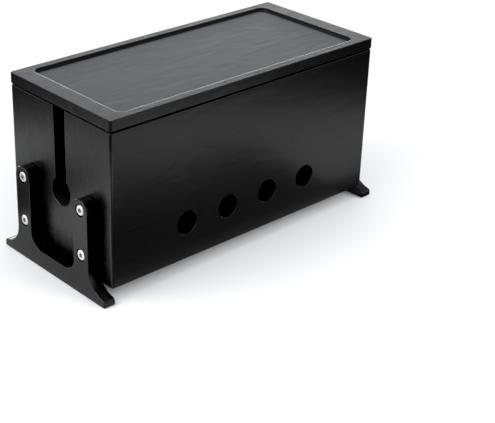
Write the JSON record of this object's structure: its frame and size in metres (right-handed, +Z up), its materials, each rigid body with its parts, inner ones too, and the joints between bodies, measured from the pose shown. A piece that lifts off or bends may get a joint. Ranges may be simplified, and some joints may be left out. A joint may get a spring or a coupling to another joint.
{
  "type": "cable management box",
  "caption": "Black stained wooden cable management box: lift-off tray lid, keyhole slot in each end, round cable holes in the front, U-shaped foot brackets screwed to the ends.",
  "frame": {"origin": "on the floor below the middle of the box, at the bottom centre of its bounding box", "axes": "+X along the length (right seen from the front), +Y to the back, +Z up; the face with the four round holes is -Y"},
  "size_m": [0.3644, 0.16, 0.182],
  "materials": {
    "stained_wood": "black stain under a satin lacquer, fine straight grain just visible",
    "stained_ply": "black stained plywood, matt",
    "beech_tongue": "bare beech",
    "bright_steel": "bright nickel plated steel",
    "brass_insert": "turned brass",
    "zinc_steel": "zinc plated steel"
  },
  "bodies": {
    "box": {"back_panel": "stained_wood", "bottom_panel": "stained_ply", "corner_spline_back_left": "beech_tongue", "corner_spline_back_right": "beech_tongue", "corner_spline_front_left": "beech_tongue", "corner_spline_front_right": "beech_tongue", "front_panel": "stained_wood", "left_end_panel": "stained_wood", "left_foot_bracket": "stained_wood", "left_screw_back_lower": "bright_steel", "left_screw_back_upper": "bright_steel", "left_screw_front_lower": "bright_steel", "left_screw_front_upper": "bright_steel", "left_threaded_inserts": "brass_insert", "right_end_panel": "stained_wood", "right_foot_bracket": "stained_wood", "right_screw_back_lower": "bright_steel", "right_screw_back_upper": "bright_steel", "right_screw_front_lower": "bright_steel", "right_screw_front_upper": "bright_steel", "right_threaded_inserts": "brass_insert"},
    "lid": {"lid": "stained_wood", "lid_cleat_front": "stained_wood", "lid_cleat_back": "stained_wood", "front_cleat_screws": "zinc_steel", "back_cleat_screws": "zinc_steel"}
  },
  "joints": [
    {"name": "lid_lift", "type": "slide", "parent": "box", "child": "lid", "axis": [0, 0, 1], "range_m": [0, 0.15]}
  ]
}
